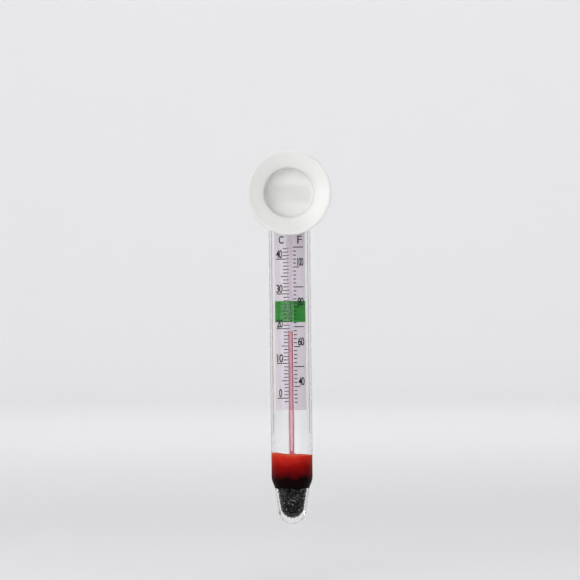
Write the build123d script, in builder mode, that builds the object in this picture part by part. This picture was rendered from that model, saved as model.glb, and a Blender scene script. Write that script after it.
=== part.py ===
from build123d import *

import math
import os

# Glass aquarium thermometer held by a suction cup, in millimetres.
# The suction cup's rim lies in the plane Y = 0 and is centred on the origin, facing -Y.
# The glass tube hangs upright behind it, along Z. Its drawn tip points down, and its scale
# faces -Y, the same way as the cup.

# Glass tube
TUBE_RADIUS = 6.0
TUBE_WALL = 0.8
TUBE_LENGTH = 105.5
TIP_RADIUS = 3.95
TIP_WALL = 0.5
TIP_FLOOR = 1.3
NECK_RADIUS = 4.9
NECK_HEIGHT = 10.0
SHOULDER_HEIGHT = 13.8

# Heights above the tip of the tube
CUP_CENTRE_HEIGHT = 96.5
SHOT_TOP = 12.0
WAX_BOTTOM = 12.2
WAX_TOP = 20.6
THREAD_FOOT = 21.4
THREAD_TOP = 56.5
CARD_BOTTOM = 33.3
CARD_TOP = 90.0
BORE_TOP = 94.0
STEM_TOP = 96.0

# Capillary stem, its ribbon bore and its bulb
STEM_RADIUS = 1.0
STEM_TOP_ROUND = 0.9
BORE_WIDTH = 1.0
BORE_DEPTH = 0.2
CHAMBER_RADIUS = 0.5
CHAMBER_LENGTH = 3.0
BULB_RADIUS = 2.9
BULB_WALL = 0.4
BULB_TOP = 19.4

# The thread's rise, and the spirit's growth by volume, for each degree Celsius
DEGREE_RISE = 1.016
SPIRIT_EXPANSION = 0.00106

# Scale card
CARD_WIDTH = 9.3
CARD_THICKNESS = 0.25
CARD_BEND_RADIUS = 14.0

# Ballast shot
SHOT_DIAMETER = 1.0
SHOT_SPACING = 1.02

# Suction cup and its collar
CUP_RADIUS = 12.25
RIM_LAND = 0.8
LIP_THICKNESS = 0.55
HOLLOW_DEPTH = 1.75
HOLLOW_BULGE = 0.12
POCKET_RADIUS = 7.15
POCKET_DEPTH = 5.4
BOSS_RADIUS = 8.0
BOSS_FOOT = 3.1
BACK_BULGE = 0.62
BOSS_END = 6.6
COLLAR_RADIUS = 7.0
COLLAR_HEIGHT = 5.0
COLLAR_EDGE = 0.3
COLLAR_BITE = 0.3
WEB_WIDTH = 10.0
WEB_ROOT = 1.0
FOOT_FILLET = 0.9
POCKET_FILLET = 0.8
POCKET_EDGE = 0.5
BOSS_EDGE = 0.5
LIP_EDGE = 0.2

# Clearances between pieces
SLIDE_GAP = 0.05
SEAT_GAP = 0.05
THREAD_GAP = 0.02

# The tube stands this far behind the rim plane, so that the collar just bites into the boss
TUBE_Y = COLLAR_RADIUS + BOSS_END - COLLAR_BITE
TIP_Z = -CUP_CENTRE_HEIGHT
BORE_RADIUS = TUBE_RADIUS - TUBE_WALL

# The bulb holds the spirit that each degree's rise of the thread needs
BORE_AREA = (BORE_WIDTH - BORE_DEPTH) * BORE_DEPTH + math.pi * BORE_DEPTH**2 / 4
BULB_VOLUME = BORE_AREA * DEGREE_RISE / SPIRIT_EXPANSION
BULB_INSIDE = BULB_RADIUS - BULB_WALL
BULB_STRAIGHT = BULB_VOLUME / (math.pi * BULB_INSIDE**2) - 4 / 3 * BULB_INSIDE
BULB_BOTTOM = BULB_TOP - BULB_STRAIGHT - 2 * BULB_RADIUS

TUBE_AXIS = Axis((0, TUBE_Y, 0), (0, 0, 1))


def tube_plane(height):
    """A level plane at a height above the tip, centred on the tube's axis."""
    return Plane.XY.move(Location((0, TUBE_Y, TIP_Z + height)))


# Half of the tube's lengthwise section: X is the radius and Y is the height above the tip
SECTION = Plane(origin=(0, TUBE_Y, TIP_Z), x_dir=(1, 0, 0), z_dir=(0, -1, 0))


def envelope_outline(inset, tip_inset, floor):
    """The closed half section inside one surface of the tube, from its tip to its dome.

    The surface lies inset inside the tube's outer one, or tip_inset inside it at the tip.
    """
    tip_radius = TIP_RADIUS - tip_inset
    tube_radius = TUBE_RADIUS - inset
    dome_foot = TUBE_LENGTH - TUBE_RADIUS
    with BuildLine() as outline:
        tip = CenterArc((0, floor + tip_radius), tip_radius, start_angle=-90, arc_size=90)
        neck = Line(tip @ 1, (NECK_RADIUS - tip_inset, NECK_HEIGHT))
        shoulder = Spline(
            neck @ 1,
            (tube_radius, SHOULDER_HEIGHT),
            tangents=(neck % 1, (0, 1)),
        )
        Line(shoulder @ 1, (tube_radius, dome_foot))
        dome = CenterArc((0, dome_foot), tube_radius, start_angle=0, arc_size=90)
        Line(dome @ 1, (0, floor))
    return outline.line


def capsule_outline(radius, bottom, top):
    """The closed half section of an upright capsule on the tube's axis."""
    with BuildLine() as outline:
        foot = CenterArc((0, bottom + radius), radius, start_angle=-90, arc_size=90)
        Line(foot @ 1, (radius, top - radius))
        CenterArc((0, top - radius), radius, start_angle=0, arc_size=90)
        Line((0, top), (0, bottom))
    return outline.line


def bore_section(gap):
    """The flat, round-edged section of the stem's bore, or of the spirit a gap inside it."""
    SlotOverall(BORE_WIDTH - 2 * gap, BORE_DEPTH - 2 * gap)


def cavity_radius(height):
    """The radius of the tube's inside at a height above the tip, from its floor to its neck."""
    radius = TIP_RADIUS - TIP_WALL
    rise = height - TIP_FLOOR
    if rise < radius:
        return math.sqrt(rise * (2 * radius - rise))
    slope = (NECK_RADIUS - TIP_RADIUS) / (NECK_HEIGHT - TIP_FLOOR - radius)
    return radius + slope * (rise - radius)


def shot_centres():
    """The places of the shot: close-packed level layers, clear of the tube and of the bulb."""
    pitch = SHOT_DIAMETER * SHOT_SPACING
    layer_rise = pitch * math.sqrt(2 / 3)
    layers = int((SHOT_TOP - TIP_FLOOR - pitch) / layer_rise) + 1
    reach = math.ceil(2 * BORE_RADIUS / pitch)
    centres = []
    for layer in range(layers):
        height = TIP_FLOOR + pitch / 2 + layer * layer_rise
        # The round floor narrows under a ball, so its room is measured a little lower
        widest = cavity_radius(height - pitch / 4) - pitch / 2
        shift = (layer % 2) * pitch / math.sqrt(3)
        for row in range(-reach, reach + 1):
            for place in range(-reach, reach + 1):
                x = (place + row / 2) * pitch
                y = row * pitch * math.sqrt(3) / 2 + shift
                to_bulb = math.hypot(x, y, max(BULB_BOTTOM + BULB_RADIUS - height, 0))
                if math.hypot(x, y) < widest and to_bulb > BULB_RADIUS + pitch / 2:
                    centres.append((x, y, height))
    return centres


def corner_at(sketch, x, y):
    """The corner of a sketch that is nearest to a point."""
    return sketch.vertices().sort_by_distance((x, y, 0))[0]


OUTSIDE = envelope_outline(0, 0, 0)
INSIDE = envelope_outline(TUBE_WALL, TIP_WALL, TIP_FLOOR)

os.makedirs("parts", exist_ok=True)

# Outer tube: clear glass, drawn down to a round tip and closed by a dome
with BuildPart() as glass_envelope:
    with BuildSketch(SECTION):
        make_face(OUTSIDE.edges())
        make_face(INSIDE.edges(), mode=Mode.SUBTRACT)
    revolve(axis=TUBE_AXIS)

glass_envelope.part.label = "glass_envelope"
export_step(glass_envelope.part, "parts/glass_envelope.step")

# Inner stem: a round glass rod with a ribbon bore, a blown bulb at its foot and a small
# expansion chamber under its sealed top
with BuildPart() as capillary_stem:
    with BuildSketch(tube_plane(BULB_TOP - BULB_RADIUS)):
        Circle(STEM_RADIUS)
    extrude(amount=STEM_TOP - BULB_TOP + BULB_RADIUS)
    fillet(capillary_stem.faces().sort_by(Axis.Z)[-1].edges(), STEM_TOP_ROUND)
    with BuildSketch(SECTION):
        make_face(capsule_outline(BULB_RADIUS, BULB_BOTTOM, BULB_TOP).edges())
    revolve(axis=TUBE_AXIS)
    with BuildSketch(SECTION):
        make_face(
            capsule_outline(BULB_INSIDE, BULB_BOTTOM + BULB_WALL, BULB_TOP - BULB_WALL).edges()
        )
        make_face(
            capsule_outline(
                CHAMBER_RADIUS, STEM_TOP - CHAMBER_LENGTH - STEM_RADIUS, STEM_TOP - STEM_RADIUS
            ).edges()
        )
    revolve(axis=TUBE_AXIS, mode=Mode.SUBTRACT)
    with BuildSketch(tube_plane(BULB_TOP - BULB_RADIUS)):
        bore_section(0)
    extrude(amount=BORE_TOP - BULB_TOP + BULB_RADIUS, mode=Mode.SUBTRACT)

capillary_stem.part.label = "capillary_stem"
export_step(capillary_stem.part, "parts/capillary_stem.step")

# Red spirit that fills the bulb and the buried start of the bore
with BuildPart() as alcohol_reservoir:
    with BuildSketch(SECTION):
        make_face(
            capsule_outline(
                BULB_INSIDE - SEAT_GAP,
                BULB_BOTTOM + BULB_WALL + SEAT_GAP,
                BULB_TOP - BULB_WALL - SEAT_GAP,
            ).edges()
        )
    revolve(axis=TUBE_AXIS)
    with BuildSketch(tube_plane(BULB_TOP - BULB_RADIUS)):
        bore_section(THREAD_GAP)
    extrude(amount=THREAD_FOOT - BULB_TOP + BULB_RADIUS)

alcohol_reservoir.part.label = "alcohol_reservoir"
export_step(alcohol_reservoir.part, "parts/alcohol_reservoir.step")

# Red spirit thread, which grows and shrinks from its foot
with BuildPart() as alcohol_column:
    with BuildSketch(tube_plane(THREAD_FOOT)):
        bore_section(THREAD_GAP)
    extrude(amount=THREAD_TOP - THREAD_FOOT)

alcohol_column.part.label = "alcohol_column"
export_step(alcohol_column.part, "parts/alcohol_column.step")

# Scale card: a strip of paper that bulges forwards to the stem, with its edges by the tube
with BuildPart() as scale_card:
    with BuildSketch(tube_plane(CARD_BOTTOM)):
        with Locations((0, STEM_RADIUS + SEAT_GAP + CARD_BEND_RADIUS)):
            Circle(CARD_BEND_RADIUS)
            Circle(CARD_BEND_RADIUS - CARD_THICKNESS, mode=Mode.SUBTRACT)
        with Locations((0, 2 * STEM_RADIUS)):
            Rectangle(CARD_WIDTH, 2 * STEM_RADIUS, mode=Mode.INTERSECT)
    extrude(amount=CARD_TOP - CARD_BOTTOM)

scale_card.part.label = "scale_card"
export_step(scale_card.part, "parts/scale_card.step")

# Red sealing wax, cast round the bulb and the foot of the stem
with BuildPart() as wax_plug:
    with BuildSketch(SECTION):
        make_face(
            envelope_outline(TUBE_WALL + SEAT_GAP, TIP_WALL + SEAT_GAP, TIP_FLOOR).edges()
        )
        with Locations((BORE_RADIUS / 2, (WAX_BOTTOM + WAX_TOP) / 2)):
            Rectangle(BORE_RADIUS, WAX_TOP - WAX_BOTTOM, mode=Mode.INTERSECT)
    revolve(axis=TUBE_AXIS)
    with BuildSketch(SECTION):
        make_face(
            capsule_outline(
                BULB_RADIUS + SEAT_GAP, BULB_BOTTOM - SEAT_GAP, BULB_TOP + SEAT_GAP
            ).edges()
        )
    revolve(axis=TUBE_AXIS, mode=Mode.SUBTRACT)
    with BuildSketch(tube_plane(BULB_TOP - BULB_RADIUS)):
        Circle(STEM_RADIUS + SEAT_GAP)
    extrude(amount=WAX_TOP - BULB_TOP + 2 * BULB_RADIUS, mode=Mode.SUBTRACT)

wax_plug.part.label = "wax_plug"
export_step(wax_plug.part, "parts/wax_plug.step")

# Ballast: loose round shot in the tip, under the wax
with BuildPart(tube_plane(0)) as ballast_shot:
    with Locations(*shot_centres()):
        Sphere(SHOT_DIAMETER / 2)

ballast_shot.part.label = "ballast_shot"
export_step(ballast_shot.part, "parts/ballast_shot.step")

# Collar: the soft ring that grips the tube
with BuildPart() as tube_collar:
    with BuildSketch(Plane.XY.move(Location((0, TUBE_Y, -COLLAR_HEIGHT / 2)))):
        Circle(COLLAR_RADIUS)
        Circle(TUBE_RADIUS + SLIDE_GAP, mode=Mode.SUBTRACT)
    extrude(amount=COLLAR_HEIGHT)
    fillet(tube_collar.edges().filter_by(GeomType.CIRCLE), COLLAR_EDGE)

tube_collar.part.label = "tube_collar"
export_step(tube_collar.part, "parts/tube_collar.step")

# Suction cup: a shallow soft disc with a flat rim and a hollow round boss, which ends in a
# web that wraps the front of the collar
with BuildPart() as suction_cup:
    with BuildSketch(Plane.XY) as profile:
        with BuildLine():
            hollow = ThreePointArc(
                (POCKET_RADIUS, HOLLOW_DEPTH),
                (
                    (POCKET_RADIUS + CUP_RADIUS - RIM_LAND) / 2,
                    HOLLOW_DEPTH / 2 + HOLLOW_BULGE,
                ),
                (CUP_RADIUS - RIM_LAND, 0),
            )
            Line(hollow @ 1, (CUP_RADIUS, 0))
            Line((CUP_RADIUS, 0), (CUP_RADIUS, LIP_THICKNESS))
            back = ThreePointArc(
                (CUP_RADIUS, LIP_THICKNESS),
                (
                    (CUP_RADIUS + BOSS_RADIUS) / 2,
                    LIP_THICKNESS + BACK_BULGE * (BOSS_FOOT - LIP_THICKNESS),
                ),
                (BOSS_RADIUS, BOSS_FOOT),
            )
            Polyline(
                back @ 1,
                (BOSS_RADIUS, BOSS_END),
                (0, BOSS_END),
                (0, POCKET_DEPTH),
                (POCKET_RADIUS, POCKET_DEPTH),
                hollow @ 0,
            )
        make_face()
        fillet(corner_at(profile, BOSS_RADIUS, BOSS_FOOT), FOOT_FILLET)
        fillet(corner_at(profile, BOSS_RADIUS, BOSS_END), BOSS_EDGE)
        fillet(corner_at(profile, CUP_RADIUS, LIP_THICKNESS), LIP_EDGE)
        fillet(corner_at(profile, POCKET_RADIUS, POCKET_DEPTH), POCKET_FILLET)
        fillet(corner_at(profile, POCKET_RADIUS, HOLLOW_DEPTH), POCKET_EDGE)
    revolve(axis=Axis.Y)
    with Locations((0, (BOSS_END - WEB_ROOT + TUBE_Y) / 2, 0)):
        Box(WEB_WIDTH, TUBE_Y - BOSS_END + WEB_ROOT, COLLAR_HEIGHT)
    with Locations((0, TUBE_Y, 0)):
        Cylinder(
            COLLAR_RADIUS + SLIDE_GAP,
            COLLAR_HEIGHT + 2 * SLIDE_GAP,
            mode=Mode.SUBTRACT,
        )

suction_cup.part.label = "suction_cup"
export_step(suction_cup.part, "parts/suction_cup.step")
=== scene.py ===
import math

import bpy
import numpy as np
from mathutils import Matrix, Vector


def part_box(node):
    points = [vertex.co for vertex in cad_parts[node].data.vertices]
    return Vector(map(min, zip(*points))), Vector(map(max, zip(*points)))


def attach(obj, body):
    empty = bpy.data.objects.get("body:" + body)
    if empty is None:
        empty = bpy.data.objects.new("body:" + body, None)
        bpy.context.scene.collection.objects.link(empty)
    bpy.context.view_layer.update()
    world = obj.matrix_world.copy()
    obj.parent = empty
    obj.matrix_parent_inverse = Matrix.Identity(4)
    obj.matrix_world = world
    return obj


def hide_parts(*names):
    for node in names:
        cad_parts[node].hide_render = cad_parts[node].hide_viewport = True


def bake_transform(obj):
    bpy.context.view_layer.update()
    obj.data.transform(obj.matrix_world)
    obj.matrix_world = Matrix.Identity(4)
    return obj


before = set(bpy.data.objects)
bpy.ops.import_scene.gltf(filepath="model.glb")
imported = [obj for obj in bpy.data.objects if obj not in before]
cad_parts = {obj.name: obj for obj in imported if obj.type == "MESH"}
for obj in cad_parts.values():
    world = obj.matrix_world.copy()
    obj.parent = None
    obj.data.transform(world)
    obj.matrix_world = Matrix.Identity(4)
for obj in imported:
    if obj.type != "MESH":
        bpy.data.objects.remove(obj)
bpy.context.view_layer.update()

# Glass aquarium thermometer held by a suction cup, dressed round its CAD frame. Lengths in the
# sections are in millimetres, and heights are measured up from the tip of the tube.

# ---------------------------------------------------------------------------------------------
# Glass tube
# Thin clear soda-lime glass. A lamp worker draws one end down to a narrower round tip and closes
# the other end with a dome, so the wall is thickest at the tip's floor.
# ---------------------------------------------------------------------------------------------
MM = 0.001
SIDES = 96
POLE_RADIUS = 0.001
TIP_STEPS = 16
SHOULDER_STEPS = 10
DOME_STEPS = 20

TUBE_RADIUS = 6.0
TUBE_WALL = 0.8
TUBE_LENGTH = 105.5
TIP_RADIUS = 3.95
TIP_WALL = 0.5
TIP_FLOOR = 1.3
NECK_RADIUS = 4.9
NECK_HEIGHT = 10.0
SHOULDER_HEIGHT = 13.8

tube_low, tube_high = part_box("glass_envelope")
TUBE_FOOT = Vector(((tube_low.x + tube_high.x) / 2, (tube_low.y + tube_high.y) / 2, tube_low.z))


def arc(centre, radius, start, end, steps):
    """Points along an arc, from one angle to another in degrees, round a centre in the section."""
    angles = [math.radians(start + (end - start) * i / steps) for i in range(steps + 1)]
    return [(centre[0] + radius * math.cos(a), centre[1] + radius * math.sin(a)) for a in angles]


def turned(name, outline, foot=TUBE_FOOT, sides=SIDES):
    """A solid of revolution: a ring that is extruded and resized along an outline.

    The outline is (radius, height) points above foot, from pole to pole or all the way round. A
    pole is a ring of POLE_RADIUS, which is merged to one point at the end.
    """
    radius, height = outline[0]
    bpy.ops.object.select_all(action="DESELECT")
    bpy.ops.mesh.primitive_circle_add(
        vertices=sides,
        radius=max(radius, POLE_RADIUS) * MM,
        location=foot + Vector((0, 0, height * MM)),
    )
    piece = bpy.context.object
    piece.name = name
    bpy.ops.object.mode_set(mode="EDIT")
    bpy.ops.mesh.select_all(action="SELECT")
    for (radius, height), (next_radius, next_height) in zip(outline, outline[1:]):
        growth = max(next_radius, POLE_RADIUS) / max(radius, POLE_RADIUS)
        bpy.ops.mesh.extrude_region_move(
            TRANSFORM_OT_translate={"value": (0, 0, (next_height - height) * MM)}
        )
        bpy.ops.transform.resize(
            value=(growth, growth, 1), center_override=foot + Vector((0, 0, next_height * MM))
        )
    bpy.ops.mesh.select_all(action="SELECT")
    bpy.ops.mesh.remove_doubles(threshold=2 * POLE_RADIUS * MM)
    bpy.ops.mesh.normals_make_consistent(inside=False)
    bpy.ops.object.mode_set(mode="OBJECT")
    bpy.ops.object.transform_apply(location=True, rotation=True, scale=True)
    bpy.ops.object.shade_smooth()
    return piece


def joined(name, pieces):
    """Several meshes made one, under a name."""
    bpy.ops.object.select_all(action="DESELECT")
    for piece in pieces:
        piece.select_set(True)
    bpy.context.view_layer.objects.active = pieces[0]
    bpy.ops.object.join()
    whole = bpy.context.object
    whole.name = name
    whole.data.name = name
    return whole


def hollowed(name, outside, inside):
    """A shell: the surface of its hollow is turned inside out and joined to its outer surface."""
    bpy.ops.object.select_all(action="DESELECT")
    bpy.context.view_layer.objects.active = inside
    inside.select_set(True)
    bpy.ops.object.mode_set(mode="EDIT")
    bpy.ops.mesh.select_all(action="SELECT")
    bpy.ops.mesh.flip_normals()
    bpy.ops.object.mode_set(mode="OBJECT")
    return joined(name, [outside, inside])


def shoulder(neck, slope, top):
    """Points of the drawn shoulder: it leaves the neck along its slope and ends upright."""
    reach = math.dist(neck, top)
    points = []
    for i in range(1, SHOULDER_STEPS + 1):
        t = i / SHOULDER_STEPS
        from_neck = 2 * t**3 - 3 * t**2 + 1
        neck_pull = (t**3 - 2 * t**2 + t) * reach
        top_pull = (t**3 - t**2) * reach
        points.append(
            (
                from_neck * neck[0] + (1 - from_neck) * top[0] + neck_pull * slope[0],
                from_neck * neck[1] + (1 - from_neck) * top[1] + neck_pull * slope[1] + top_pull,
            )
        )
    return points


def tube_outline(inset, tip_inset, floor):
    """The tube's section from tip to dome, inset from its outer surface."""
    tip_radius = TIP_RADIUS - tip_inset
    radius = TUBE_RADIUS - inset
    dome_foot = TUBE_LENGTH - TUBE_RADIUS
    tip = arc((0, floor + tip_radius), tip_radius, -90, 0, TIP_STEPS)
    neck = (NECK_RADIUS - tip_inset, NECK_HEIGHT)
    slope = Vector((neck[0] - tip[-1][0], neck[1] - tip[-1][1])).normalized()
    return (
        tip
        + [neck]
        + shoulder(neck, slope, (radius, SHOULDER_HEIGHT))
        + arc((0, dome_foot), radius, 0, 90, DOME_STEPS)
    )


def linear(hex_colour):
    """An sRGB hex colour as the linear RGBA that a shader takes."""
    parts = [int(hex_colour[i : i + 2], 16) / 255 for i in (1, 3, 5)]
    return [p / 12.92 if p <= 0.04045 else ((p + 0.055) / 1.055) ** 2.4 for p in parts] + [1]


def finish(name, **sockets):
    """A new material: one Principled shader whose sockets are set by name."""
    material = bpy.data.materials.new(name)
    material.use_nodes = True
    shader = material.node_tree.nodes["Principled BSDF"]
    for socket, value in sockets.items():
        shader.inputs[socket.replace("_", " ")].default_value = value
    return material


def lit_through(piece):
    """Lets lamplight straight through a clear piece, so that what it holds is lit evenly."""
    piece.visible_shadow = False
    piece.visible_diffuse = False


# Flame-worked soda-lime glass: perfectly smooth, with the usual index and no colour. A grey
# specular tint weakens its reflections, as in a dark studio, so that what it holds looks deep
tube_glass = finish(
    "soda_lime_glass",
    Base_Color=linear("#FDFDFD"),
    Roughness=0.0,
    IOR=1.5,
    Transmission_Weight=1.0,
    Specular_Tint=linear("#929292"),
)

glass_tube = hollowed(
    "glass_tube",
    turned("tube_outside", tube_outline(0, 0, 0)),
    turned("tube_inside", tube_outline(TUBE_WALL, TIP_WALL, TIP_FLOOR)),
)
glass_tube.data.materials.append(tube_glass)
lit_through(glass_tube)
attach(glass_tube, "thermometer")
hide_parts("glass_envelope")

# ---------------------------------------------------------------------------------------------
# Capillary stem
# A solid round glass rod with a flat ribbon bore, which looks wider through the rod. Its foot is
# blown into the spirit bulb, and a small chamber under its sealed top takes spilt-over spirit.
# ---------------------------------------------------------------------------------------------
STEM_RADIUS = 1.0
STEM_TOP = 96.0
STEM_TOP_ROUND = 0.9
BORE_WIDTH = 1.0
BORE_DEPTH = 0.2
BORE_TOP = 94.0
CHAMBER_RADIUS = 0.5
CHAMBER_BOTTOM = 92.0
CHAMBER_TOP = 95.0
BULB_RADIUS = 2.9
BULB_WALL = 0.4
BULB_TOP = 19.4
STEM_SIDES = 48
CHAMBER_SIDES = 24
RIBBON_SIDES = 16
CAPSULE_STEPS = 10
BULB_STEPS = 10
ROUND_STEPS = 8
SMOOTH_ANGLE = 40
TOUCHING = 0.0001

bulb_bottom = (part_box("capillary_stem")[0].z - TUBE_FOOT.z) / MM


def capsule(radius, bottom, top):
    """The section of an upright capsule, from pole to pole."""
    lower = arc((0, bottom + radius), radius, -90, 0, CAPSULE_STEPS)
    return lower + arc((0, top - radius), radius, 0, 90, CAPSULE_STEPS)


def ribbon(name, width, depth, bottom, top, rings):
    """An upright bar on the tube's axis with a flat, round-edged section, cut into rings."""
    bpy.ops.object.select_all(action="DESELECT")
    bpy.ops.mesh.primitive_circle_add(
        vertices=RIBBON_SIDES,
        radius=depth / 2 * MM,
        location=TUBE_FOOT + Vector((0, 0, bottom * MM)),
    )
    bar = bpy.context.object
    bar.name = name
    bpy.ops.object.transform_apply(location=True)
    for vertex in bar.data.vertices:
        side = vertex.co.x - TUBE_FOOT.x
        if abs(side) > TOUCHING * MM:
            vertex.co.x += math.copysign((width - depth) / 2 * MM, side)
    bpy.ops.object.mode_set(mode="EDIT")
    bpy.ops.mesh.select_all(action="SELECT")
    bpy.ops.mesh.edge_face_add()
    for _ in range(rings):
        bpy.ops.mesh.extrude_region_move(
            TRANSFORM_OT_translate={"value": (0, 0, (top - bottom) / rings * MM)}
        )
    bpy.ops.mesh.select_all(action="SELECT")
    bpy.ops.mesh.normals_make_consistent(inside=False)
    bpy.ops.object.mode_set(mode="OBJECT")
    return bar


def cut(piece, cutter):
    """Cuts a closed shape out of a piece, and clears the cutter away."""
    bpy.ops.object.select_all(action="DESELECT")
    piece.select_set(True)
    bpy.context.view_layer.objects.active = piece
    saw = piece.modifiers.new("cut", "BOOLEAN")
    saw.operation = "DIFFERENCE"
    saw.solver = "EXACT"
    saw.object = cutter
    bpy.ops.object.modifier_apply(modifier=saw.name)
    bpy.data.objects.remove(cutter)


def smoothed(piece):
    """Smooth shading, but for edges that turn by more than SMOOTH_ANGLE."""
    bpy.ops.object.select_all(action="DESELECT")
    piece.select_set(True)
    bpy.context.view_layer.objects.active = piece
    bpy.ops.object.shade_smooth_by_angle(angle=math.radians(SMOOTH_ANGLE))


bulb_centre = BULB_TOP - BULB_RADIUS
open_angle = math.degrees(math.acos(STEM_RADIUS / BULB_RADIUS))
round_centre = (STEM_RADIUS - STEM_TOP_ROUND, STEM_TOP - STEM_TOP_ROUND)
stem = turned(
    "stem",
    arc((0, bulb_bottom + BULB_RADIUS), BULB_RADIUS, -90, 0, BULB_STEPS)
    + arc((0, bulb_centre), BULB_RADIUS, 0, open_angle, ROUND_STEPS)
    + arc(round_centre, STEM_TOP_ROUND, 0, 90, ROUND_STEPS)
    + [(0, STEM_TOP)],
    sides=STEM_SIDES,
)
bulb_inside = capsule(BULB_RADIUS - BULB_WALL, bulb_bottom + BULB_WALL, BULB_TOP - BULB_WALL)
cut(stem, turned("bulb_hollow", bulb_inside, sides=STEM_SIDES))
cut(stem, ribbon("bore", BORE_WIDTH, BORE_DEPTH, bulb_centre, BORE_TOP, rings=1))
chamber_inside = capsule(CHAMBER_RADIUS, CHAMBER_BOTTOM, CHAMBER_TOP)
cut(stem, turned("chamber", chamber_inside, sides=CHAMBER_SIDES))
smoothed(stem)

# Drawn capillary glass: a lead-free tube glass, as smooth as the outer one, with its reflections
# weakened in the same way, and a grey-lilac tint that is painted shade: it darkens the empty bore,
# where light crosses two more faces
stem_glass = finish(
    "drawn_capillary_glass",
    Base_Color=linear("#F7F4F7"),
    Roughness=0.0,
    IOR=1.5,
    Transmission_Weight=1.0,
    Specular_Tint=linear("#747474"),
)
stem.data.materials.append(stem_glass)
lit_through(stem)
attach(stem, "thermometer")
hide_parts("capillary_stem")

# ---------------------------------------------------------------------------------------------
# Red spirit
# Alcohol with a red dye. The thread in the bore rises and falls above its foot just over the
# wax; the store in the bulb under it stays where it is.
# ---------------------------------------------------------------------------------------------
THREAD_RINGS = 36
THREAD_GAP = 0.02
# Across the ribbon, the painted highlight down its middle fades into the red edges between these
THREAD_HIGHLIGHT_TO = 0.19
THREAD_RED_FROM = 0.28

thread_low, thread_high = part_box("alcohol_column")
thread_foot = (thread_low.z - TUBE_FOOT.z) / MM
thread_top = (thread_high.z - TUBE_FOOT.z) / MM


def add_node(material, kind, settings=(), links=()):
    """A node in a material, with its settings and links.

    Settings are (name, value) for a property or an input socket, and links are (input socket,
    node, its output socket).
    """
    node = material.node_tree.nodes.new(kind)
    for name, value in settings:
        if name in node.inputs:
            node.inputs[name].default_value = value
        else:
            setattr(node, name, value)
    for socket, source, output in links:
        material.node_tree.links.new(source.outputs[output], node.inputs[socket])
    return node


def feed(material, socket, node, output):
    """Links a node's output to a socket of the material's shader."""
    shader = material.node_tree.nodes["Principled BSDF"]
    material.node_tree.links.new(node.outputs[output], shader.inputs[socket])


# Dyed spirit: a clear red liquid. Its colour is painted pale pink down the middle of the ribbon, a
# painted highlight, and red at its two edges from the dye
red_spirit = finish("red_dyed_spirit", Roughness=0.02, IOR=1.36, Transmission_Weight=1.0)
spirit_place = add_node(red_spirit, "ShaderNodeTexCoord")
spirit_axes = add_node(
    red_spirit, "ShaderNodeSeparateXYZ", [], [("Vector", spirit_place, "Object")]
)
spirit_aside = add_node(
    red_spirit, "ShaderNodeMath", [("operation", "ABSOLUTE")], [(0, spirit_axes, "X")]
)
spirit_edge = add_node(
    red_spirit,
    "ShaderNodeMapRange",
    [("From Min", THREAD_HIGHLIGHT_TO * MM), ("From Max", THREAD_RED_FROM * MM)],
    [("Value", spirit_aside, "Value")],
)
spirit_highlight_tone = add_node(red_spirit, "ShaderNodeValToRGB", [], [("Fac", spirit_edge, "Result")])
spirit_highlight_tone.color_ramp.elements[0].color = linear("#FBD3DA")
spirit_highlight_tone.color_ramp.elements[1].color = linear("#CE4159")
feed(red_spirit, "Base Color", spirit_highlight_tone, "Color")

thread = ribbon(
    "spirit_thread",
    BORE_WIDTH - 2 * THREAD_GAP,
    BORE_DEPTH - 2 * THREAD_GAP,
    thread_foot,
    thread_top,
    THREAD_RINGS,
)
smoothed(thread)
thread.data.materials.append(red_spirit)
lit_through(thread)
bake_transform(thread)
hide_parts("alcohol_column")

# The same spirit in the bulb: its colour is painted nearly black low down, a painted shade where
# the bulb lies in the wax and shot, and pales up the bore to the thread's pink
bulb_spirit = finish("red_spirit_in_bulb", Roughness=0.1, IOR=1.36)
pool_place = add_node(bulb_spirit, "ShaderNodeTexCoord")
pool_axes = add_node(bulb_spirit, "ShaderNodeSeparateXYZ", [], [("Vector", pool_place, "Object")])
pool_shade_height = add_node(
    bulb_spirit,
    "ShaderNodeMapRange",
    [
        ("From Min", TUBE_FOOT.z + BULB_TOP * MM),
        ("From Max", TUBE_FOOT.z + (thread_foot - THREAD_GAP) * MM),
    ],
    [("Value", pool_axes, "Z")],
)
pool_shade_tone = add_node(bulb_spirit, "ShaderNodeValToRGB", [], [("Fac", pool_shade_height, "Result")])
pool_shade_tone.color_ramp.elements[0].color = linear("#240508")
pool_shade_tone.color_ramp.elements[1].position = 0.5
pool_shade_tone.color_ramp.elements[1].color = linear("#C4677A")
feed(bulb_spirit, "Base Color", pool_shade_tone, "Color")
spirit_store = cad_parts["alcohol_reservoir"]
spirit_store.data.materials.clear()
spirit_store.data.materials.append(bulb_spirit)

# ---------------------------------------------------------------------------------------------
# Scale card
# A strip of smooth lilac-white paper that bulges forwards to the back of the stem, so that it
# springs against the back of the tube's wall with its two edges.
# ---------------------------------------------------------------------------------------------
CARD_WIDTH = 9.3
CARD_THICKNESS = 0.25
CARD_BEND = 14.0
STEM_TO_CARD = 0.05
STRIP_CUT = 0.5
PAPER_GRAIN = 0.35
PAPER_RELIEF = 0.02

card_low, card_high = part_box("scale_card")


def behind_axis(x):
    """How far the card's front face lies behind the tube's axis, at x from its middle line."""
    return STEM_RADIUS + STEM_TO_CARD + CARD_BEND - math.sqrt(CARD_BEND**2 - x**2)


def bend_to_card(piece, lift):
    """Moves a flat upright piece back onto the card's curve, lift in front of its face."""
    for vertex in piece.data.vertices:
        across = (vertex.co.x - TUBE_FOOT.x) / MM
        vertex.co.y += (behind_axis(across) - lift) * MM


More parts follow.
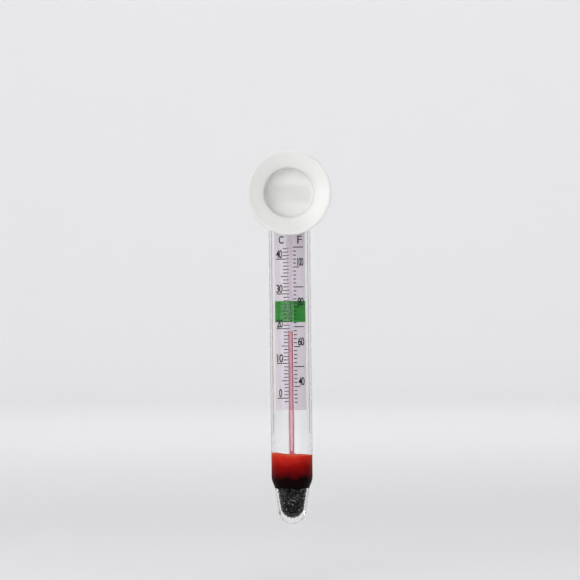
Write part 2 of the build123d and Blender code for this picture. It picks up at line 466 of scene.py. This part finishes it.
def strip(name, left, right, bottom, top, lift, thickness):
    """A thin upright strip that is bent to the card, with its middle layer lift in front of it."""
    bpy.ops.object.select_all(action="DESELECT")
    bpy.ops.mesh.primitive_grid_add(
        x_subdivisions=max(1, round((right - left) / STRIP_CUT)),
        y_subdivisions=1,
        size=MM,
        location=TUBE_FOOT,
    )
    sheet = bpy.context.object
    sheet.name = name
    sheet.scale = (right - left, top - bottom, 1)
    bpy.ops.object.transform_apply(location=False, rotation=False, scale=True)
    sheet.rotation_euler = (math.pi / 2, 0, 0)
    sheet.location = TUBE_FOOT + Vector(((left + right) / 2 * MM, 0, (bottom + top) / 2 * MM))
    bpy.ops.object.transform_apply(location=True, rotation=True, scale=True)
    bend_to_card(sheet, lift)
    wall = sheet.modifiers.new("thickness", "SOLIDIFY")
    wall.thickness = thickness * MM
    wall.offset = 0
    bpy.ops.object.modifier_apply(modifier=wall.name)
    return sheet


# Uncoated scale paper: matt and lilac-white, with a faint grain of fibres, which is drawn a few
# times coarser than real fibres, so that it shows
scale_paper = finish("scale_paper", Base_Color=linear("#C8C0C8"), Roughness=0.75)
paper_place = add_node(scale_paper, "ShaderNodeTexCoord")
paper_grain = add_node(
    scale_paper,
    "ShaderNodeTexNoise",
    [("Scale", 1 / (PAPER_GRAIN * MM)), ("Detail", 3.0)],
    [("Vector", paper_place, "Object")],
)
paper_relief = add_node(
    scale_paper,
    "ShaderNodeBump",
    [("Strength", 0.15), ("Distance", PAPER_RELIEF * MM)],
    [("Height", paper_grain, "Fac")],
)
feed(scale_paper, "Normal", paper_relief, "Normal")

scale_card = strip(
    "paper_scale_card",
    -CARD_WIDTH / 2,
    CARD_WIDTH / 2,
    (card_low.z - TUBE_FOOT.z) / MM,
    (card_high.z - TUBE_FOOT.z) / MM,
    -CARD_THICKNESS / 2,
    CARD_THICKNESS,
)
smoothed(scale_card)
scale_card.data.materials.append(scale_paper)
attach(scale_card, "thermometer")
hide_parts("scale_card")

# ---------------------------------------------------------------------------------------------
# Green comfort band
# Green ink, printed straight across the card before the black scale goes over it. It marks the
# warmth that the fish like.
# ---------------------------------------------------------------------------------------------
BAND_BOTTOM = 59.0
BAND_TOP = 65.2
INK_THICKNESS = 0.01
BAND_LIFT = 0.01

# Offset ink that has soaked into the paper: matt and flat
green_ink = finish(
    "green_printing_ink", Base_Color=linear("#257A2B"), Roughness=0.6, Specular_IOR_Level=0.15
)

green_band = strip(
    "green_comfort_band",
    -CARD_WIDTH / 2,
    CARD_WIDTH / 2,
    BAND_BOTTOM,
    BAND_TOP,
    BAND_LIFT,
    INK_THICKNESS,
)
smoothed(green_band)
green_band.data.materials.append(green_ink)
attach(green_band, "thermometer")

# ---------------------------------------------------------------------------------------------
# Printed scales
# Black ink over the card and its band: Celsius lines on the left and Fahrenheit lines on the
# right, each with its numerals just above the long lines and its letter at the top.
# ---------------------------------------------------------------------------------------------
LINE_WEIGHT = 0.27
SCALE_LIFT = 0.03
CELSIUS_ZERO = 36.81
CELSIUS_STEP = 1.016
CELSIUS_INNER = -0.1
CELSIUS_OUTER = -2.0
CELSIUS_FIVES_END = -2.67
CELSIUS_TENS_END = -4.13
FAHRENHEIT_FORTY = 40.2
FAHRENHEIT_STEP = 0.582
FAHRENHEIT_INNER = 0.83
FAHRENHEIT_OUTER = 1.85
FAHRENHEIT_TENS_END = 4.04
FAHRENHEIT_TWENTIES_END = 2.73
NUMERAL_HEIGHT = 2.4
NUMERAL_WIDTH = 1.9
NUMERAL_GAP = 0.3
NUMERAL_OFFSET = 3.15
LETTER_HEIGHT = 2.3
LETTER_WIDTH = 1.5
LETTER_FOOT = 81.95
C_PLACE = -2.47
F_PLACE = 3.0
F_WIDTH = 1.4
STROKE = 0.02
F_STROKE = 0.002
CHARACTER_SPACING = 0.85

# Black offset ink: matt, and nearly black where it has soaked in. Its lines are a little heavier
# than real ones, so that they show
black_ink = finish(
    "black_printing_ink", Base_Color=linear("#0C0A0E"), Roughness=0.6, Specular_IOR_Level=0.15
)


def celsius(degrees):
    """The height of a temperature on the Celsius scale."""
    return CELSIUS_ZERO + degrees * CELSIUS_STEP


def fahrenheit(degrees):
    """The height of a temperature on the Fahrenheit scale."""
    return FAHRENHEIT_FORTY + (degrees - 40) * FAHRENHEIT_STEP


def ladder(name, left, right, first, spacing, count):
    """A printed line and its repeats, up the card from a first height."""
    low, high = first - LINE_WEIGHT / 2, first + LINE_WEIGHT / 2
    line = strip(name, left, right, low, high, SCALE_LIFT, INK_THICKNESS)
    repeats = line.modifiers.new("repeats", "ARRAY")
    repeats.count = count
    repeats.use_relative_offset = False
    repeats.use_constant_offset = True
    repeats.constant_offset_displace = (0, 0, spacing * MM)
    bpy.ops.object.modifier_apply(modifier=repeats.name)
    return line


def lettering(text, middle, foot, width, height, stroke=STROKE):
    """Printed characters, drawn to a width and a height and bent to the card.

    Their strokes are thickened by stroke, a share of the height.
    """
    bpy.ops.object.select_all(action="DESELECT")
    bpy.ops.object.text_add()
    letters = bpy.context.object
    letters.data.body = text
    letters.data.size = height * MM
    letters.data.offset = stroke * height * MM
    letters.data.extrude = INK_THICKNESS / 2 * MM
    letters.data.space_character = CHARACTER_SPACING
    bpy.ops.object.convert(target="MESH")
    letters = bpy.context.object
    xs = [vertex.co.x for vertex in letters.data.vertices]
    ys = [vertex.co.y for vertex in letters.data.vertices]
    left, right, low, high = min(xs), max(xs), min(ys), max(ys)
    for vertex in letters.data.vertices:
        across = (vertex.co.x - left) / (right - left) - 0.5
        up = (vertex.co.y - low) / (high - low)
        vertex.co = TUBE_FOOT + Vector(
            ((middle + across * width) * MM, -vertex.co.z, (foot + up * height) * MM)
        )
    bpy.ops.object.mode_set(mode="EDIT")
    bpy.ops.mesh.select_all(action="SELECT")
    bpy.ops.mesh.remove_doubles(threshold=TOUCHING * MM)
    bpy.ops.mesh.normals_make_consistent(inside=False)
    bpy.ops.object.mode_set(mode="OBJECT")
    bend_to_card(letters, SCALE_LIFT)
    return letters


# Each kind of line: its two ends, then its first degree, the degrees between lines and their count
celsius_lines = (
    ("celsius_degrees", CELSIUS_OUTER, CELSIUS_INNER, -1, 1, 45),
    ("celsius_fives", CELSIUS_FIVES_END, CELSIUS_OUTER, 5, 10, 4),
    ("celsius_tens", CELSIUS_TENS_END, CELSIUS_OUTER, 0, 10, 5),
)
celsius_print = [
    ladder(name, left, right, celsius(first), spacing * CELSIUS_STEP, count)
    for name, left, right, first, spacing, count in celsius_lines
]
celsius_print.append(lettering("C", C_PLACE, LETTER_FOOT, LETTER_WIDTH, LETTER_HEIGHT))
for degrees in range(0, 50, 10):
    foot = celsius(degrees) + NUMERAL_GAP
    width = NUMERAL_WIDTH if degrees else NUMERAL_WIDTH / 2
    celsius_print.append(lettering(str(degrees), -NUMERAL_OFFSET, foot, width, NUMERAL_HEIGHT))

fahrenheit_lines = (
    ("fahrenheit_degrees", FAHRENHEIT_INNER, FAHRENHEIT_OUTER, 32, 2, 40),
    ("fahrenheit_tens", FAHRENHEIT_OUTER, FAHRENHEIT_TENS_END, 50, 20, 4),
    ("fahrenheit_twenties", FAHRENHEIT_OUTER, FAHRENHEIT_TWENTIES_END, 40, 20, 4),
)
fahrenheit_print = [
    ladder(name, left, right, fahrenheit(first), spacing * FAHRENHEIT_STEP, count)
    for name, left, right, first, spacing, count in fahrenheit_lines
]
fahrenheit_print.append(lettering("F", F_PLACE, LETTER_FOOT, F_WIDTH, LETTER_HEIGHT, F_STROKE))
for degrees in range(40, 120, 20):
    foot = fahrenheit(degrees) + NUMERAL_GAP
    fahrenheit_print.append(
        lettering(str(degrees), NUMERAL_OFFSET, foot, NUMERAL_WIDTH, NUMERAL_HEIGHT)
    )

for name, prints in (("celsius_scale", celsius_print), ("fahrenheit_scale", fahrenheit_print)):
    scale = joined(name, prints)
    scale.data.materials.append(black_ink)
    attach(scale, "thermometer")

# ---------------------------------------------------------------------------------------------
# Sealing wax
# Translucent red wax, poured hot round the bulb. It wets the glass, so it is seen magnified
# across the whole tube; its top sloped a little as it set, and its foot soaked into the shot.
# ---------------------------------------------------------------------------------------------
WAX_FOOT = 10.6
WAX_TOP = 20.3
WAX_INTO_GLASS = 0.05
WAX_SLOPE = 0.8
WAX_FOOT_EDGE = 0.05
WAX_RINGS = (16.0, 18.0)
MENISCUS = 0.4
# How the wax sinks away from the wall and the stem: distance, and share of the meniscus
SINK_FROM_WALL = ((0, 0), (0.15, 0.5), (0.5, 0.85), (1.2, 1))
SINK_TO_STEM = ((0.9, 1), (0.3, 0.7), (0, 0.2))
WAX_CLOUD = 2.6
WAX_WOBBLE = 2.5
WAX_DARK_HEIGHT = 11.0
WAX_PALE_HEIGHT = 21.0
WAX_TONES = (
    (0.0, "#0C0404"),
    (0.22, "#140404"),
    (0.36, "#520406"),
    (0.6, "#860A0C"),
    (0.84, "#BE2A1E"),
    (1.0, "#DF5038"),
)

wax_inset = TUBE_WALL - WAX_INTO_GLASS
wax_radius = TUBE_RADIUS - wax_inset
wax_inside = tube_outline(wax_inset, TIP_WALL - WAX_INTO_GLASS, TIP_FLOOR)
wax_side = [point for point in wax_inside if WAX_FOOT < point[1] < WAX_TOP]
wax_top = [(wax_radius - away, WAX_TOP - sink * MENISCUS) for away, sink in SINK_FROM_WALL]
wax_top += [(STEM_RADIUS + away, WAX_TOP - sink * MENISCUS) for away, sink in SINK_TO_STEM]
wax_plug = turned(
    "sealing_wax_plug",
    [(0, WAX_FOOT), (wax_side[0][0] - WAX_FOOT_EDGE, WAX_FOOT)]
    + wax_side
    + [(wax_radius, height) for height in WAX_RINGS]
    + wax_top
    + [(0, wax_top[-1][1])],
)
for vertex in wax_plug.data.vertices:
    height = (vertex.co.z - TUBE_FOOT.z) / MM
    if height > WAX_TOP - 2 * MENISCUS:
        leftward = max(0, (TUBE_FOOT.x - vertex.co.x) / MM / wax_radius)
        vertex.co.z += WAX_SLOPE * leftward**2 * MM

# Dyed sealing wax, cast against the glass: light soaks a few millimetres into it and glows red, and
# its colour is darker in clouds towards the bottom, nearly black at its foot. It touches the glass,
# so it has no shine of its own
sealing_wax = finish(
    "red_sealing_wax",
    Roughness=0.3,
    Specular_IOR_Level=0.0,
    Subsurface_Weight=0.4,
    Subsurface_Radius=(1.0, 0.2, 0.12),
    Subsurface_Scale=2.5 * MM,
)
wax_place = add_node(sealing_wax, "ShaderNodeTexCoord")
wax_height = add_node(sealing_wax, "ShaderNodeSeparateXYZ", [], [("Vector", wax_place, "Object")])
wax_clouds = add_node(
    sealing_wax,
    "ShaderNodeTexNoise",
    [("Scale", 1 / (WAX_CLOUD * MM)), ("Detail", 3.0)],
    [("Vector", wax_place, "Object")],
)
wax_wobble = add_node(
    sealing_wax,
    "ShaderNodeMath",
    [("operation", "MULTIPLY_ADD")],
    [(0, wax_clouds, "Fac"), (2, wax_height, "Z")],
)
wax_wobble.inputs[1].default_value = WAX_WOBBLE * MM
wax_depth = add_node(
    sealing_wax,
    "ShaderNodeMapRange",
    [
        ("From Min", TUBE_FOOT.z + (WAX_DARK_HEIGHT + WAX_WOBBLE / 2) * MM),
        ("From Max", TUBE_FOOT.z + (WAX_PALE_HEIGHT + WAX_WOBBLE / 2) * MM),
    ],
    [("Value", wax_wobble, "Value")],
)
wax_tone = add_node(sealing_wax, "ShaderNodeValToRGB", [], [("Fac", wax_depth, "Result")])
ramp = wax_tone.color_ramp
while len(ramp.elements) < len(WAX_TONES):
    ramp.elements.new(0.5)
for element, (place, tone) in zip(ramp.elements, WAX_TONES):
    element.position = place
    element.color = linear(tone)
feed(sealing_wax, "Base Color", wax_tone, "Color")
wax_plug.data.materials.append(sealing_wax)
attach(wax_plug, "thermometer")
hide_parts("wax_plug")

# ---------------------------------------------------------------------------------------------
# Ballast shot
# Black steel shot of about 1 mm, tipped loose into the drawn end, so that the thermometer
# floats upright.
# ---------------------------------------------------------------------------------------------
SHOT_RADIUS = 0.5
SHOT_SQUASH = (1, 0.97, 0.94)
SHOT_TOP = 12.8
SHOT_COUNT = 360
SHOT_STEPS = 260
POUR_SPREAD = 2.5
POUR_FROM = 1.0
POUR_ABOVE = 4.0
SINK_STEP = 0.03
PUSH_SHARE = 0.8
LEAST_RISE = 0.01
# Size of the bright spots painted on the shot as glints
GLINT_SPOT = 0.45

shaker = np.random.default_rng(7)


def hollow_radius(heights):
    """The tube's inner radius at heights between its floor and its shoulder."""
    radius = TIP_RADIUS - TIP_WALL
    rise = np.clip(heights - TIP_FLOOR, LEAST_RISE, None)
    slope = (NECK_RADIUS - TIP_RADIUS) / (NECK_HEIGHT - TIP_FLOOR - radius)
    bowl = np.sqrt(np.clip(rise * (2 * radius - rise), 0, None))
    return np.where(rise < radius, bowl, radius + slope * (rise - radius))


def poured_shot():
    """The centres of the balls after they have sunk, pushed apart and met the wall and bulb."""
    spots = shaker.uniform(-POUR_SPREAD, POUR_SPREAD, (SHOT_COUNT, 3))
    spots[:, 2] = np.linspace(TIP_FLOOR + POUR_FROM, SHOT_TOP + POUR_ABOVE, SHOT_COUNT)
    width = 2 * SHOT_RADIUS
    bowl_top = TIP_FLOOR + TIP_RADIUS - TIP_WALL
    bowl_centre = np.array([0, 0, bowl_top])
    bowl_room = TIP_RADIUS - TIP_WALL - SHOT_RADIUS
    for step in range(SHOT_STEPS):
        spots[:, 2] -= SINK_STEP * (1 - step / SHOT_STEPS)
        apart = spots[:, None] - spots[None]
        gaps = np.linalg.norm(apart, axis=2) + np.eye(SHOT_COUNT) * width
        push = np.clip(width - gaps, 0, None) / 2 / gaps
        spots += PUSH_SHARE * (apart * push[:, :, None]).sum(axis=1)
        below = np.clip(bulb_bottom + BULB_RADIUS - spots[:, 2], 0, None)
        off_bulb = np.column_stack((spots[:, 0], spots[:, 1], -below))
        reach = np.linalg.norm(off_bulb, axis=1)
        short = np.clip(BULB_RADIUS + SHOT_RADIUS - reach, 0, None) / reach
        spots += off_bulb * short[:, None]
        across = np.linalg.norm(spots[:, :2], axis=1)
        room = hollow_radius(spots[:, 2]) - SHOT_RADIUS
        squeeze = np.where((across > room) & (spots[:, 2] > bowl_top), room / across, 1)
        spots[:, :2] *= squeeze[:, None]
        in_bowl = spots - bowl_centre
        depth = np.linalg.norm(in_bowl, axis=1)
        pull = np.where((spots[:, 2] < bowl_top) & (depth > bowl_room), bowl_room / depth, 1)
        spots = bowl_centre + in_bowl * pull[:, None]
    return spots


bpy.ops.object.select_all(action="DESELECT")
bpy.ops.mesh.primitive_ico_sphere_add(subdivisions=2, radius=SHOT_RADIUS * MM)
ball = bpy.context.object
bpy.ops.object.mode_set(mode="EDIT")
bpy.ops.mesh.select_all(action="SELECT")
bpy.ops.transform.resize(value=SHOT_SQUASH)
bpy.ops.object.mode_set(mode="OBJECT")
bpy.ops.object.shade_smooth()
balls = [ball]
for spot in poured_shot():
    other = ball.copy()
    other.data = ball.data.copy()
    other.location = TUBE_FOOT + Vector(spot) * MM
    other.rotation_euler = shaker.uniform(0, math.tau, 3)
    bpy.context.scene.collection.objects.link(other)
    balls.append(other)
bpy.data.objects.remove(balls.pop(0))
shot = joined("ballast_shot_black", balls)
bpy.ops.object.transform_apply(location=True, rotation=True, scale=True)

# Blackened steel shot: black, with small bright spots painted into its colour, which stand in for
# glints of light: a painted highlight
black_shot = finish("blackened_steel_shot", Roughness=0.25, Specular_IOR_Level=0.04)
shot_place = add_node(black_shot, "ShaderNodeTexCoord")
shot_glint_noise = add_node(
    black_shot,
    "ShaderNodeTexNoise",
    [("Scale", 1 / (GLINT_SPOT * MM)), ("Detail", 1.0)],
    [("Vector", shot_place, "Object")],
)
shot_glint_tone = add_node(black_shot, "ShaderNodeValToRGB", [], [("Fac", shot_glint_noise, "Fac")])
shot_glint_tone.color_ramp.elements[0].position = 0.63
shot_glint_tone.color_ramp.elements[0].color = linear("#060505")
shot_glint_tone.color_ramp.elements[1].position = 0.7
shot_glint_tone.color_ramp.elements[1].color = linear("#94918E")
feed(black_shot, "Base Color", shot_glint_tone, "Color")
shot.data.materials.append(black_shot)
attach(shot, "thermometer")
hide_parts("ballast_shot")

# ---------------------------------------------------------------------------------------------
# Collar
# The soft ring of the PVC moulding, sprung over the tube a little below its dome. It turns with
# the tube against the web that holds it.
# ---------------------------------------------------------------------------------------------
COLLAR_RADIUS = 7.0
COLLAR_BORE = 6.05
COLLAR_EDGE = 0.3
EDGE_STEPS = 4

collar_low, collar_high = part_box("tube_collar")
collar_bottom = (collar_low.z - TUBE_FOOT.z) / MM
collar_top = (collar_high.z - TUBE_FOOT.z) / MM


def rounded(before, corner, after, reach, steps=EDGE_STEPS):
    """Points that round off a corner of an outline, from reach before it to reach after it."""
    start = Vector(corner) + (Vector(before) - Vector(corner)).normalized() * reach
    end = Vector(corner) + (Vector(after) - Vector(corner)).normalized() * reach
    points = []
    for i in range(steps + 1):
        t = i / steps
        points.append(tuple((1 - t) ** 2 * start + 2 * t * (1 - t) * Vector(corner) + t**2 * end))
    return points


collar_corners = [
    (COLLAR_BORE, collar_bottom),
    (COLLAR_RADIUS, collar_bottom),
    (COLLAR_RADIUS, collar_top),
    (COLLAR_BORE, collar_top),
]
collar_outline = []
for i, corner in enumerate(collar_corners):
    after = collar_corners[(i + 1) % len(collar_corners)]
    collar_outline += rounded(collar_corners[i - 1], corner, after, COLLAR_EDGE)
collar = turned("soft_tube_collar", collar_outline + collar_outline[:1])
smoothed(collar)

# Plasticised PVC, moulded clear and gone milky: soft, slightly waxy shine, light glows through
clear_pvc = finish(
    "milky_soft_pvc",
    Base_Color=linear("#F9F9F7"),
    Roughness=0.28,
    IOR=1.45,
    Transmission_Weight=0.36,
)
collar.data.materials.append(clear_pvc)
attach(collar, "collar")
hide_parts("tube_collar")

# ---------------------------------------------------------------------------------------------
# Suction cup
# The same soft PVC: a shallow disc, hollow at the front, with a flat rim, and a round boss
# behind it that ends in the web which holds the collar.
# ---------------------------------------------------------------------------------------------
CUP_RADIUS = 12.25
RIM_LAND = 0.8
LIP_THICKNESS = 0.55
HOLLOW_DEPTH = 1.75
HOLLOW_VIA = (9.3, 1.0)
POCKET_RADIUS = 7.15
POCKET_DEPTH = 5.4
POCKET_FILLET = 0.8
POCKET_EDGE = 0.5
BOSS_RADIUS = 8.0
BOSS_FOOT = 3.1
BACK_VIA = (10.12, 2.13)
BOSS_END = 6.6
BOSS_EDGE = 0.5
FOOT_FILLET = 0.9
LIP_EDGE = 0.2
WEB_WIDTH = 10.0
WEB_ROOT = 1.0
COLLAR_GAP = 0.05
SADDLE_BEYOND = 1.0
CUP_SIDES = 128
CUP_ARC_STEPS = 12
POCKET_FILLET_STEPS = 8
FOOT_FILLET_STEPS = 6


def arc_through(first, middle, last, steps):
    """Points along the arc through three points of a section."""
    (ax, ay), (bx, by), (cx, cy) = first, middle, last
    twist = 2 * (ax * (by - cy) + bx * (cy - ay) + cx * (ay - by))
    a2, b2, c2 = ax**2 + ay**2, bx**2 + by**2, cx**2 + cy**2
    x = (a2 * (by - cy) + b2 * (cy - ay) + c2 * (ay - by)) / twist
    y = (a2 * (cx - bx) + b2 * (ax - cx) + c2 * (bx - ax)) / twist
    start = math.degrees(math.atan2(ay - y, ax - x))
    end = math.degrees(math.atan2(cy - y, cx - x))
    if end - start > 180:
        end -= 360
    if start - end > 180:
        end += 360
    return arc((x, y), math.dist(first, (x, y)), start, end, steps)


rim_inside = (CUP_RADIUS - RIM_LAND, 0)
hollow = arc_through((POCKET_RADIUS, HOLLOW_DEPTH), HOLLOW_VIA, rim_inside, CUP_ARC_STEPS)
lip_back = (CUP_RADIUS, LIP_THICKNESS)
back = arc_through(lip_back, BACK_VIA, (BOSS_RADIUS, BOSS_FOOT), CUP_ARC_STEPS)
pocket_corner = (POCKET_RADIUS, POCKET_DEPTH)
cup_outline = (
    [(0, POCKET_DEPTH)]
    + rounded((0, POCKET_DEPTH), pocket_corner, hollow[0], POCKET_FILLET, POCKET_FILLET_STEPS)
    + rounded(pocket_corner, hollow[0], hollow[1], POCKET_EDGE)
    + hollow[1:]
    + rounded((0, 0), (CUP_RADIUS, 0), lip_back, LIP_EDGE)
    + rounded((CUP_RADIUS, 0), lip_back, back[1], LIP_EDGE)
    + back[1:-2]
    + rounded(back[-2], back[-1], (BOSS_RADIUS, BOSS_END), FOOT_FILLET, FOOT_FILLET_STEPS)
    + rounded((BOSS_RADIUS, 0), (BOSS_RADIUS, BOSS_END), (0, BOSS_END), BOSS_EDGE)
    + [(0, BOSS_END)]
)
cup = turned("soft_suction_cup", cup_outline, foot=Vector((0, 0, 0)), sides=CUP_SIDES)
cup.rotation_euler = (-math.pi / 2, 0, 0)
bpy.ops.object.transform_apply(location=True, rotation=True, scale=True)

collar_middle = (collar_low.z + collar_high.z) / 2
collar_height = collar_high.z - collar_low.z
web_front = (BOSS_END - WEB_ROOT) * MM
bpy.ops.object.select_all(action="DESELECT")
bpy.ops.mesh.primitive_cube_add(
    size=1,
    location=(TUBE_FOOT.x, (web_front + TUBE_FOOT.y) / 2, collar_middle),
    scale=(WEB_WIDTH * MM, TUBE_FOOT.y - web_front, collar_height),
)
web = bpy.context.object
bpy.ops.object.transform_apply(location=True, rotation=True, scale=True)
saddle_radius = COLLAR_RADIUS + COLLAR_GAP
saddle_low, saddle_high = collar_bottom - SADDLE_BEYOND, collar_top + SADDLE_BEYOND
saddle = turned(
    "saddle",
    [(0, saddle_low), (saddle_radius, saddle_low), (saddle_radius, saddle_high), (0, saddle_high)],
)
cut(web, saddle)
bpy.ops.object.select_all(action="DESELECT")
cup.select_set(True)
bpy.context.view_layer.objects.active = cup
weld = cup.modifiers.new("weld", "BOOLEAN")
weld.operation = "UNION"
weld.solver = "EXACT"
weld.object = web
bpy.ops.object.modifier_apply(modifier=weld.name)
bpy.data.objects.remove(web)
smoothed(cup)
cup.data.materials.append(clear_pvc)
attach(cup, "cup")
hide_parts("suction_cup")

# ---------------------------------------------------------------------------------------------
# Studio
# A pale floor that curves up all round into a wall, lit by a tall soft light at the left front, a
# large one overhead and three that wash the wall, with two flags behind the object. The lights,
# flags and camera are placed in metres and turned in degrees.
# ---------------------------------------------------------------------------------------------
FLOOR_BELOW_TIP = 15.0
FLOOR_RING = 400.0
ROOM_RADIUS = 2200.0
ROOM_BEND = 700.0
ROOM_BEND_STEPS = 16
ROOM_HEIGHT = 2600.0
ROOM_SIDES = 64
AIM_HEIGHT = 68.4
WALL_LIGHT_TILT = 70
FLAG_WIDTH = 0.16
FLAG_HEIGHT = 0.42
FLAG_TURN = 44
FLAG_ASIDE = 0.69
FLAG_BEHIND = 0.72
FLAG_MIDDLE = 0.1
CAMERA_DISTANCE = 0.9417
CAMERA_LEAN = 0.64

floor_height = -FLOOR_BELOW_TIP
bend_centre = (ROOM_RADIUS - ROOM_BEND, floor_height + ROOM_BEND)
room = turned(
    "studio_room",
    [(0, floor_height), (FLOOR_RING, floor_height)]
    + arc(bend_centre, ROOM_BEND, -90, 0, ROOM_BEND_STEPS)
    + [(ROOM_RADIUS, floor_height + ROOM_HEIGHT)],
    sides=ROOM_SIDES,
)
bpy.ops.object.mode_set(mode="EDIT")
bpy.ops.mesh.select_all(action="SELECT")
bpy.ops.mesh.flip_normals()
bpy.ops.object.mode_set(mode="OBJECT")
# Matt studio paint, nearly white. The object's gloss mirrors the lights and not the pale wall
studio_paint = finish("matt_studio_paint", Base_Color=linear("#F0F0F1"), Roughness=0.9)
room.data.materials.append(studio_paint)
room.visible_glossy = False

aim = Vector((0, 0, TUBE_FOOT.z + AIM_HEIGHT * MM))


def soft_light(name, place, width, height, watts):
    """A rectangular soft light that faces the thermometer and isn't seen itself."""
    bpy.ops.object.select_all(action="DESELECT")
    bpy.ops.object.light_add(type="AREA", location=place)
    light = bpy.context.object
    light.name = name
    light.data.shape = "RECTANGLE"
    light.data.size = width
    light.data.size_y = height
    light.data.energy = watts
    light.rotation_euler = (aim - Vector(place)).to_track_quat("-Z", "Y").to_euler()
    light.visible_camera = False
    return light


overhead = soft_light(
    "overhead_soft_light", place=(0, 0.01, 1.6), width=2.0, height=2.0, watts=15
)
tall_light = soft_light(
    "tall_soft_light", place=(-0.438, -0.716, 0.2), width=0.9, height=0.76, watts=5.4
)
for name, place, turn, watts in (
    ("back_wall_light", (0, 0.7, 1.1), 0, 8.5),
    ("left_wall_light", (-0.7, 0, 1.1), 90, 5.5),
    ("right_wall_light", (0.7, 0, 1.1), -90, 5.5),
):
    wall_light = soft_light(name, place, width=1.2, height=0.6, watts=watts)
    wall_light.rotation_euler = (math.radians(WALL_LIGHT_TILT), 0, math.radians(turn))

# Flag cloth: brown-grey, and quite matt
flag_cloth = finish("matt_flag_cloth", Base_Color=linear("#B0A29C"), Roughness=1.0)


def flag(name, side):
    """A card to one side of the background, which draws a thin dark line in the tube's edge."""
    bpy.ops.object.select_all(action="DESELECT")
    bpy.ops.mesh.primitive_plane_add(size=1)
    card = bpy.context.object
    card.name = name
    card.scale = (FLAG_WIDTH, FLAG_HEIGHT, 1)
    card.rotation_euler = (math.pi / 2, 0, -side * math.radians(FLAG_TURN))
    card.location = (side * FLAG_ASIDE, FLAG_BEHIND, FLAG_MIDDLE)
    bpy.ops.object.transform_apply(location=True, rotation=True, scale=True)
    card.visible_camera = False
    card.visible_diffuse = False
    card.visible_shadow = False
    card.data.materials.append(flag_cloth)
    return card


left_flag = flag("left_flag", -1)
right_flag = flag("right_flag", 1)

world = bpy.data.worlds.new("studio_air")
bpy.context.scene.world = world
world.use_nodes = True
world.node_tree.nodes["Background"].inputs["Color"].default_value = linear("#F2F3F5")
world.node_tree.nodes["Background"].inputs["Strength"].default_value = 0.15

bpy.ops.object.camera_add(
    location=(aim.x, TUBE_FOOT.y - CAMERA_DISTANCE, aim.z),
    rotation=(math.pi / 2, math.radians(CAMERA_LEAN), 0),
)
camera = bpy.context.object
camera.data.lens = 200
camera.data.sensor_width = 36
camera.data.clip_start = 0.05
bpy.context.scene.camera = camera
bpy.context.scene.view_settings.view_transform = "Standard"
# Light crosses the tube, the stem, the bore and the spirit, so it takes many bounces
bpy.context.scene.cycles.max_bounces = 32
bpy.context.scene.cycles.transmission_bounces = 28
bpy.context.scene.cycles.glossy_bounces = 8
